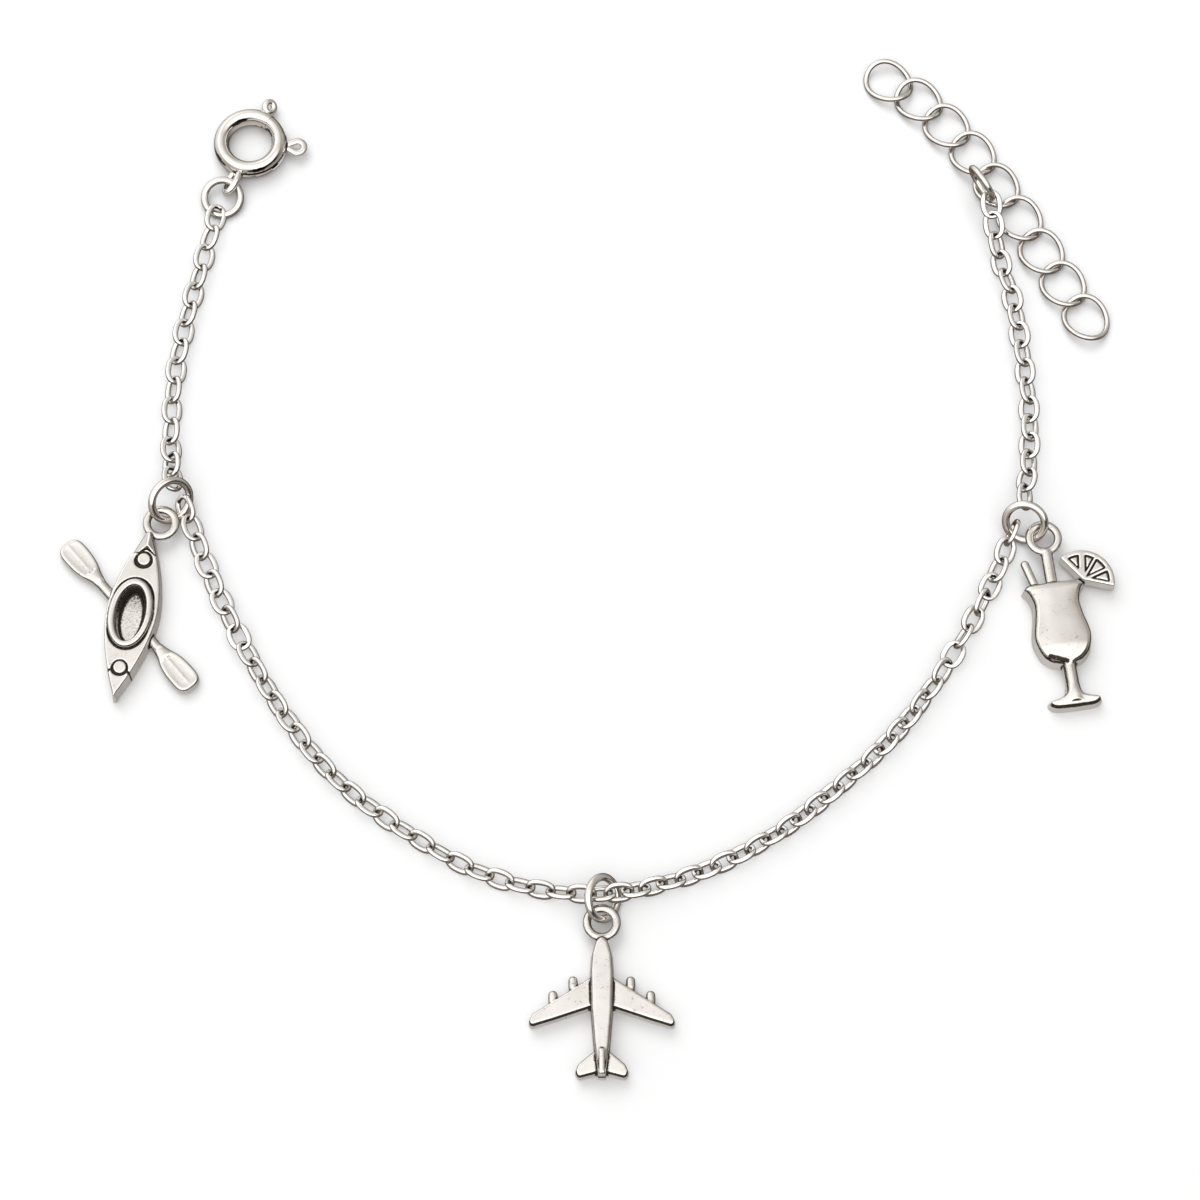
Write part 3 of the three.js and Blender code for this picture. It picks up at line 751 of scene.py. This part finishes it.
shell_parts = [
    hollow_arc(SHELL["radius"], SHELL["high"], SHELL["wall"], SHELL["skin"], SHELL["from"], SHELL["to"]),
    radial_loop(EYE_LOOP),
    radial_loop(TAB_LOOP),
    solder(on_ring(EYE_SOLDER["radius"], EYE_LOOP["heading"]), EYE_SOLDER["sizes"]),
    solder(on_ring(TAB_SOLDER["radius"], TAB_LOOP["heading"]), TAB_SOLDER["sizes"]),
]
points, faces = gather(shell_parts)
show("clasp_shell", points + np.array(CLASP_AT), faces, CLASP, "anklet", ["clasp_ring"],
     {"patina_and_shade": shell_dark_accents(points)}, sharp=45)
points, faces = gather([
    arc(SHELL["radius"], BOLT["high"], BOLT["wall"], BOLT["from"], BOLT["to"]),
    teardrop(),
])
show("clasp_bolt", points + np.array(CLASP_AT), faces, CLASP, "gate", ["clasp_gate"],
     {"patina_and_shade": shell_dark_accents(points)}, sharp=45)


# ---------------------------------------------------------------- cast charms

# A charm is worked out as distances to its surface on a fine grid, where forms can be rounded,
# filleted and sunk into each other as a casting is, and then skinned. The points and sizes of the
# charms start from places read off the photo as the chain's do.
class Grid:
    def __init__(self, lowest, highest, step):
        self.low, self.step = np.array(lowest, float), step
        sides = [np.arange(a, b + step, step, dtype=np.float32) for a, b in zip(lowest, highest)]
        self.x, self.y, self.z = sides[0][:, None, None], sides[1][None, :, None], sides[2][None, None, :]


def round_max(a, b, r):
    return np.minimum(-r, np.maximum(a, b)) + np.hypot(np.maximum(a + r, 0), np.maximum(b + r, 0))


def fillet(a, b, r):
    return np.maximum(r, np.minimum(a, b)) - np.hypot(np.maximum(r - a, 0), np.maximum(r - b, 0))


def spun(x, y, degrees):
    c, s = math.cos(math.radians(degrees)), math.sin(math.radians(degrees))
    return x * c + y * s, y * c - x * s


def ellipse(x, y, a, b):
    k1 = np.hypot(x / a, y / b)
    k2 = np.hypot(x / a ** 2, y / b ** 2) + 1e-6
    return k1 * (k1 - 1) / k2


def polygon(x, y, corners):
    corners = np.asarray(corners, np.float32)
    best = np.full(np.broadcast(x, y).shape, 1e9, np.float32)
    inside = np.zeros(best.shape, bool)
    for (ax, ay), (bx, by) in zip(corners, np.roll(corners, -1, 0)):
        ex, ey = bx - ax, by - ay
        wx, wy = x - ax, y - ay
        t = np.clip((wx * ex + wy * ey) / (ex * ex + ey * ey + 1e-12), 0, 1)
        best = np.minimum(best, (wx - ex * t) ** 2 + (wy - ey * t) ** 2)
        if ey != 0:
            crosses = ((ay > y) != (by > y)) & (x < ex * (y - ay) / ey + ax)
            inside ^= crosses
    return np.where(inside, -1, 1) * np.sqrt(best)


def curve_points(rows, steps=6):
    rows = np.array(rows, float)
    slope = np.gradient(rows, axis=0)
    s = np.linspace(0, 1, steps, endpoint=False)[:, None]
    a, b, c, d = curve_weights(s)
    parts = [
        a * rows[i] + b * slope[i] + c * rows[i + 1] + d * slope[i + 1] for i in range(len(rows) - 1)
    ]
    return np.concatenate(parts + [rows[-1:]])


def both_sides(rows):
    rows = np.asarray(rows, float)
    return np.concatenate([rows, (rows * (-1, 1))[::-1]])


def torus(g, x, y, z, radius, across, thick):
    ring = np.hypot(g.x - x, g.y - y) - radius
    return ellipse(ring, g.z - z, across, thick)


def segment(x, y, start, stop):
    ax, ay = start
    ex, ey = stop[0] - ax, stop[1] - ay
    t = np.clip(((x - ax) * ex + (y - ay) * ey) / (ex * ex + ey * ey), 0, 1)
    return np.hypot(x - ax - ex * t, y - ay - ey * t)


def capsule(g, start, stop, radius, up):
    return np.hypot(segment(g.x, g.y, start, stop), g.z - up) - radius


# a flat casting: `outline` distances at the back, walls that lean in by `draft`, rounded at the top
def cast(g, outline, top, edge, draft=0.12, bottom=0.0, foot=0.1):
    wall = (outline + draft * (g.z - bottom)) / math.sqrt(1 + draft * draft)
    return round_max(round_max(wall, g.z - top, edge), bottom - g.z, foot)


# one point in each cell that the surface crosses, and a face across each grid edge that it cuts
def skin(d):
    inside = d < 0
    cells = np.array(d.shape) - 1
    total = int(cells.prod())
    sums = np.zeros((3, total))
    counts = np.zeros(total)
    quads = []
    for axis in range(3):
        u, v = (axis + 1) % 3, (axis + 2) % 3
        near = [slice(None)] * 3
        far = [slice(None)] * 3
        near[axis], far[axis] = slice(0, -1), slice(1, None)
        near, far = tuple(near), tuple(far)
        spots = np.argwhere(inside[near] != inside[far])
        keep = (spots[:, u] > 0) & (spots[:, v] > 0) & (spots[:, u] < cells[u]) & (spots[:, v] < cells[v])
        spots = spots[keep]
        a = d[near][tuple(spots.T)]
        b = d[far][tuple(spots.T)]
        places = spots.astype(float)
        places[:, axis] += a / (a - b)
        ring = []
        for du, dv in ((0, 0), (-1, 0), (-1, -1), (0, -1)):
            cell = spots.copy()
            cell[:, u] += du
            cell[:, v] += dv
            flat = np.ravel_multi_index(cell.T, cells)
            counts += np.bincount(flat, minlength=total)
            for k in range(3):
                sums[k] += np.bincount(flat, places[:, k], minlength=total)
            ring.append(flat)
        quad = np.stack(ring, 1)
        quad[a > 0] = quad[a > 0][:, ::-1]
        quads.append(quad)
    quads = np.concatenate(quads)
    used = np.unique(quads)
    renumber = np.zeros(total, np.int64)
    renumber[used] = np.arange(len(used))
    places = (sums[:, used] / counts[used]).T
    return places, renumber[quads]


def sample(field, places):
    base = np.clip(places.astype(int), 0, np.array(field.shape) - 2)
    part = places - base
    value = 0
    for dx in (0, 1):
        for dy in (0, 1):
            for dz in (0, 1):
                weight = (
                    (part[:, 0] if dx else 1 - part[:, 0])
                    * (part[:, 1] if dy else 1 - part[:, 1])
                    * (part[:, 2] if dz else 1 - part[:, 2])
                )
                value = value + weight * field[base[:, 0] + dx, base[:, 1] + dy, base[:, 2] + dz]
    return value


def blurred(field, rounds):
    for _ in range(rounds):
        for axis in range(3):
            field = (np.roll(field, 1, axis) + np.roll(field, -1, axis) + 2 * field) / 4
    return field


# skins a charm's distances and marks its points: patina with painted shade, rough cast walls, and bright
# edges (wear and painted highlight)
def charm_mesh(g, d, hollows_and_shade):
    d = np.broadcast_to(d, np.broadcast(g.x, g.y, g.z).shape).astype(np.float32)
    d = blurred(d, 1)
    places, quads = skin(d)
    for _ in range(2):
        value = sample(d, places)
        slope = np.stack([
            sample(d, places + shift) - sample(d, places - shift) for shift in np.eye(3) * 0.5
        ], 1)
        move = value[:, None] * slope / np.maximum((slope ** 2).sum(1, keepdims=True), 0.1 * g.step ** 2)
        places = places - np.clip(move, -0.5, 0.5)
    upright = np.abs(slope[:, 2]) / np.linalg.norm(slope, axis=1)
    # against softened distances, corners come out below 0 and edges above
    depth = sample(blurred(d, 6), places) / g.step
    corner = smooth(-0.02, -0.35, depth)
    # a thin dark line is painted under every top edge, as a painted dark reflection
    dark_edge_line = 0.85 * smooth(0.70, 0.52, upright) * smooth(0.20, 0.34, upright) * (slope[:, 2] > 0)
    # patina in corners, with the painted dark lines and painted shade of each charm added
    patina_and_shade = np.clip(np.maximum(corner, dark_edge_line) + sample(hollows_and_shade(g, d), places), 0, 1)
    marks = {
        "patina_and_shade": patina_and_shade,
        "wall": smooth(0.36, 0.22, upright),
        # convex top edges: wear, and a painted highlight
        "wear_and_highlight": smooth(0.22, 0.60, depth) * smooth(0.60, 0.75, upright),
    }
    return places * g.step + g.low, quads, marks


def charm(name, replaces, at, turn, mesh):
    points, quads, marks = mesh
    place = Matrix.Translation(Vector((*at, 0))) @ Matrix.Rotation(math.radians(turn), 4, "Z")
    points = turned(points, place)
    show(name, points, quads, ANTIQUE, "anklet", [replaces], marks, sharp=None)


CHARM_STEP = 0.075
EYE = {"radius": 1.62, "across": 0.46, "thick": 0.42, "up": 1.5}


def eye(g, x, y):
    return torus(g, x, y, EYE["up"], EYE["radius"], EYE["across"], EYE["thick"])


# ---- kayak: x across, y towards the eye
HULL = {
    "widest": 0.3, "reach": 10.35, "power": 1.75, "half_wide": 3.0, "bow": 9.95, "stern": -9.95,
    "deck": 2.25, "edge": 0.2, "draft": 0.07,
}
COAMING = {"at": (-0.1, 0.0), "half_long": 3.69, "half_wide": 2.06, "half_band": 0.40, "top": 2.75}
WELL = {"at": (-0.06, -0.12), "half_long": 3.30, "half_wide": 1.63, "floor": 1.0, "slope": 0.16}
HATCHES = ((0.07, 6.61, 1.19), (0.01, -6.40, 1.08))
HATCH_DISC = 0.72
BOW_STEP = {"x": 0.19, "y": 7.9, "fall": 0.6}
CREASES = (((-1.02, -6.85), (-1.45, -7.3)), ((1.04, -6.84), (1.53, -7.3)))
KAYAK_EYE = (1.0, 11.4)
PADDLE = {"at": (-0.41, 0.13), "turn": -39.5, "half_shaft": 6.4, "shaft": 0.6, "up": 0.85, "top": 1.4}
BLADE = [
    (5.3, 0.5), (6.0, 0.8), (7.0, 1.22), (8.2, 1.46), (9.6, 1.52), (10.4, 1.47), (10.95, 1.22), (11.25, 0.8),
    (11.35, 0.3), (11.35, 0.0),
]


def kayak_mesh():
    g = Grid((-10.9, -10.7, -0.3), (9.3, 13.9, 3.1), CHARM_STEP)
    x, y = g.x, g.y
    along = np.linspace(HULL["stern"], HULL["bow"], 70)
    half = HULL["half_wide"] * (1 - np.abs((along - HULL["widest"]) / HULL["reach"]) ** HULL["power"])
    outline = polygon(x, y, both_sides(np.stack([np.maximum(half, 0.25), along], 1))) - 0.02
    # the bow rises to a ridge beyond a chevron step
    bx = np.abs(x - BOW_STEP["x"])
    step_front = y - (BOW_STEP["y"] - BOW_STEP["fall"] * bx)
    gable = smooth(0.0, 0.25, step_front) * (0.48 - 0.80 * bx)
    d = cast(g, outline, HULL["deck"] + gable, HULL["edge"], HULL["draft"])
    cx, cy = COAMING["at"]
    ring = ellipse(x - cx, y - cy, COAMING["half_wide"], COAMING["half_long"])
    ends = smooth(1.6, 3.6, np.abs(y - cy))
    cuts = np.abs(ring - COAMING["half_band"] - 0.10) - 0.03 - 0.11 * ends
    for hx, hy, reach in HATCHES:
        spot = np.hypot(x - hx, y - hy)
        below = smooth(0.6, -0.8, y - hy)
        half = (reach - HATCH_DISC) / 2 * (0.45 + 0.45 * below)
        cuts = np.minimum(cuts, np.abs(spot - HATCH_DISC - half) - half)
    cuts = np.minimum(cuts, np.maximum(np.abs(step_front) - 0.09, bx - 1.05))
    for start, stop in CREASES:
        cuts = np.minimum(cuts, segment(x, y, start, stop) - 0.10)
    d = round_max(d, -np.maximum(cuts, HULL["deck"] - 0.30 - g.z), 0.08)
    u, v = spun(x - PADDLE["at"][0], y - PADDLE["at"][1], PADDLE["turn"])
    blade_side = np.concatenate([curve_points(BLADE, 5), (curve_points(BLADE, 5) * (1, -1))[::-1]])
    blades = np.minimum(polygon(u, v, blade_side), polygon(u, v, blade_side * (-1, 1)))
    rib = 0.045 * np.exp(-(v / 0.16) ** 2)
    dish = smooth(0.15, 0.9, -blades) * (0.07 - rib) * smooth(6.2, 7.6, np.abs(u))
    d_blades = cast(g, blades, PADDLE["top"] - dish, 0.3, 0.06, 0.3, 0.25)
    shaft = np.maximum(np.hypot(v, g.z - PADDLE["up"]) - PADDLE["shaft"], np.abs(u) - PADDLE["half_shaft"])
    d = fillet(d, fillet(d_blades, shaft, 0.5), 0.10)
    band = round_max(np.abs(ring) - COAMING["half_band"], g.z - COAMING["top"], 0.36)
    d = np.minimum(d, np.maximum(band, 0.6 - g.z))
    wx, wy = WELL["at"]
    well = ellipse(x - wx, y - wy, WELL["half_wide"], WELL["half_long"])
    hole = round_max(well + WELL["slope"] * (COAMING["top"] - g.z), WELL["floor"] - g.z, 0.2)
    d = round_max(d, -hole, 0.10)
    d = fillet(d, eye(g, *KAYAK_EYE), 0.10)

    def hollows_and_shade(g, d):
        rise = g.z - HULL["deck"]
        grooves = (0.5 + 0.4 * ends) * smooth(0.08, -0.05, cuts) * smooth(0.05, -0.12, rise)
        # the well's walls: patina in the recess, darker towards the bow and the left as painted shade
        shade = 0.36 + 0.64 * smooth(-1.4, 2.2, y - cy - 0.5 * x)
        walls = shade * smooth(0.2, -0.05, well) * smooth(0.42, 0.1, rise) * smooth(-0.62, -0.25, well)
        # the well's floor: patina speckled into pits, darker towards the bow as painted shade
        floor_pits_and_shade = 0.23 + 0.30 * smooth(0.3, 2.4, y - cy)
        floor_pits_and_shade = floor_pits_and_shade * smooth(-0.1, -0.4, well) * smooth(1.5, 1.3, g.z)
        return np.broadcast_to(np.maximum(np.maximum(grooves, walls), floor_pits_and_shade), d.shape)

    return charm_mesh(g, d, hollows_and_shade)


charm("kayak", "charm_kayak", (-52.4, -2.4), -9.5, kayak_mesh())


# ---- airplane: y towards the eye
FUSELAGE = [
    (0.3, AIRPLANE_TAIL), (0.58, -16.75), (0.97, -13.6), (1.27, -9.8), (1.36, -5.6), (1.22, -3.6),
    (0.8, -2.15), (0.3, -1.62),
]
WING = [
    (0.6, -9.4), (1.3, -9.5), (5.3, -10.85), (7.5, -11.53), (7.85, -11.35), (7.95, -10.85), (7.6, -10.15),
    (1.25, -6.05), (0.6, -5.9),
]
TAILPLANE = [
    (0.4, -16.6), (0.8, -16.78), (2.4, -17.2), (2.75, -17.0), (2.93, -16.45), (2.62, -15.7),
    (0.97, -14.3), (0.4, -14.0),
]
ENGINES = ((3.12, -5.97), (5.29, -7.57))
POD = {"radius": 0.51, "up": 1.22}
FIN = {"from": -14.1, "to": AIRPLANE_TAIL, "half": 0.46, "top": 2.85}


def airplane_mesh():
    g = Grid((-8.4, -17.6, -0.3), (8.4, 2.4, 3.4), CHARM_STEP)
    x, y = g.x, g.y
    wide = np.abs(x)
    body = polygon(x, y, both_sides(FUSELAGE))
    wings = polygon(wide, y, WING)
    tail = polygon(wide, y, TAILPLANE)
    d = fillet(cast(g, wings, 1.8, 0.22, 0.07), cast(g, tail, 1.75, 0.22, 0.07), 0.1)
    for ex, ey in ENGINES:
        beyond = np.maximum(np.abs(y - ey + 0.85) - 0.35, 0)
        pod = np.sqrt((wide - ex) ** 2 + beyond ** 2 + (g.z - POD["up"]) ** 2) - POD["radius"]
        pylon = segment(wide, y, (ex, ey - 1.2), (ex, ey - 0.5)) - POD["radius"]
        pod = np.minimum(pod, cast(g, pylon, POD["up"], 0.1, 0.03))
        d = fillet(d, pod, 0.08)
    d = fillet(d, cast(g, body, 2.6 - 0.02 * wide ** 2, 0.32, 0.085), 0.08)
    fin = np.maximum(wide - FIN["half"], np.maximum(y - FIN["from"], FIN["to"] - y))
    d = fillet(d, cast(g, fin, FIN["top"], 0.30, 0.07, 1.0, 0.05), 0.06)
    d = fillet(d, eye(g, 0, 0), 0.10)

    def hollows_and_shade(g, d):
        root = smooth(0.30, 0.0, body) * smooth(-0.05, 0.05, body) * smooth(1.2, 1.7, g.z) * 0.45
        under = np.minimum(np.minimum(wings, tail), body)
        # a painted dark band on the rear walls just below their top edges: painted shade and painted dark
        # reflection
        trailing = smooth(0.0, -0.25, y + 8.4 + 0.3 * wide)
        line = smooth(-0.4, -0.1, under) * smooth(0.85, 1.1, g.z) * smooth(1.70, 1.60, g.z) * trailing
        return np.broadcast_to(np.maximum(root, line), d.shape)

    return charm_mesh(g, d, hollows_and_shade)


charm("airplane", "charm_airplane", AIRPLANE_AT, 0, airplane_mesh())


# ---- cocktail glass: y towards the eye
BOWL = [
    (3.0, -5.35), (3.55, -6.0), (3.1, -6.6), (2.72, -7.9), (2.9, -9.5), (3.25, -11.0), (3.32, -12.2),
    (2.85, -13.8), (1.95, -14.8), (0.8, -15.28),
]
BOWL_MIDDLE = 0.12
FOOT = [
    (0.75, -17.6), (0.95, -18.2), (1.5, -18.6), (2.75, -18.95), (3.1, -19.4), (2.75, -19.92),
    (2.0, -20.18), (0.4, -20.25),
]
FOOT_MIDDLE = 0.3
COCKTAIL_EYE = (0.05, 0.05)
STRAWS = (((0.05, -1.85), (0.0, -6.2), 0.68, 1.75), ((-2.58, -2.85), (-1.75, -6.2), 0.5, 1.6))
SLICE = {
    "at": (3.45, -5.68), "radius": 3.68, "from": -20, "to": 125.5, "bottom": 0.5, "top": 2.1, "well": 3.07,
}
# each segment's two sides: heading of the spoke and half its width
SEGMENTS = ((-20, 0.42, 18, 0.13), (18, 0.13, 52, 0.11), (52, 0.11, 82, 0.30), (82, 0.30, 125.5, 0.60))


def beside(x, y, degrees):
    return y * math.cos(math.radians(degrees)) - x * math.sin(math.radians(degrees))


def cocktail_mesh():
    g = Grid((-3.9, -20.7, -0.3), (7.6, 2.4, 3.1), CHARM_STEP)
    x, y = g.x, g.y
    bx = x - BOWL_MIDDLE
    bowl = polygon(bx, y, both_sides(curve_points(BOWL, 5)))
    rows = curve_points(BOWL, 5)[::-1]
    half_width = np.interp(y, rows[:, 1], rows[:, 0])
    crown = 0.50 * np.clip(np.abs(bx) / half_width, 0, 1.2) ** 2.4
    crown = crown + 0.45 * smooth(-12.9, -15.3, y) + 0.10 * smooth(-6.4, -5.4, y)
    d = cast(g, bowl, 2.75 - crown, 0.45, 0.09)
    fx = x - FOOT_MIDDLE
    foot = polygon(fx, y, both_sides(curve_points(FOOT, 5)))
    d_foot = cast(g, foot, 1.95 - 0.2 * smooth(-18.6, -19.8, y), 0.25, 0.2)
    stem = np.hypot(fx, (g.z - 1.0) * 0.7) - 0.78
    stem = np.maximum(stem, np.maximum(y + 14.4, -19.4 - y))
    d = fillet(fillet(d, stem, 0.25), d_foot, 0.45)
    for start, stop, radius, up in STRAWS:
        d = np.minimum(d, np.maximum(capsule(g, start, stop, radius, up - radius + 0.35), -g.z + 0.2))
    sx, sy = x - SLICE["at"][0], y - SLICE["at"][1]
    radius = np.hypot(sx, sy)
    sector = np.maximum(beside(sx, sy, SLICE["to"]), -beside(sx, sy, SLICE["from"]))
    sector = np.maximum(radius - SLICE["radius"], sector)
    wells = np.full(sector.shape, 9.0, np.float32)
    for start, start_rib, stop, stop_rib in SEGMENTS:
        sides = round_max(start_rib - beside(sx, sy, start), stop_rib + beside(sx, sy, stop), 0.15)
        wells = np.minimum(wells, round_max(sides, radius - SLICE["well"], 0.15))
    d_slice = cast(g, sector, SLICE["top"], 0.2, 0.05, SLICE["bottom"], 0.1)
    sunk = smooth(0.0, -0.10, wells) * 0.28 - smooth(-0.13, -0.26, wells) * 0.18
    d_slice = np.maximum(d_slice, g.z - (SLICE["top"] - sunk))
    d = fillet(d, d_slice, 0.06)
    d = fillet(d, eye(g, *COCKTAIL_EYE), 0.10)

    def hollows_and_shade(g, d):
        arc = 0.55 + 0.45 * smooth(SLICE["well"] - 0.6, SLICE["well"] - 0.1, radius)
        outlines = arc * smooth(0.02, -0.04, wells) * smooth(-0.20, -0.12, wells) * smooth(1.5, 1.7, g.z)
        # a painted dark line along the wall at the foot's lower edge: a painted dark reflection
        under = smooth(-0.55, -0.3, foot) * smooth(0.9, 1.15, g.z) * smooth(1.72, 1.58, g.z)
        under = under * smooth(-19.3, -19.6, y)
        # a painted dark reflection across the bowl's lower left
        bowl_dark_reflection = smooth(0.36, 0.16, segment(x, y, (-1.75, -14.2), (0.05, -14.95))) * smooth(2.0, 2.2, g.z)
        return np.broadcast_to(np.maximum(np.maximum(outlines, under), bowl_dark_reflection), d.shape)

    return charm_mesh(g, d, hollows_and_shade)


charm("cocktail", "charm_cocktail", (49.95, 6.8), 7.8, cocktail_mesh())
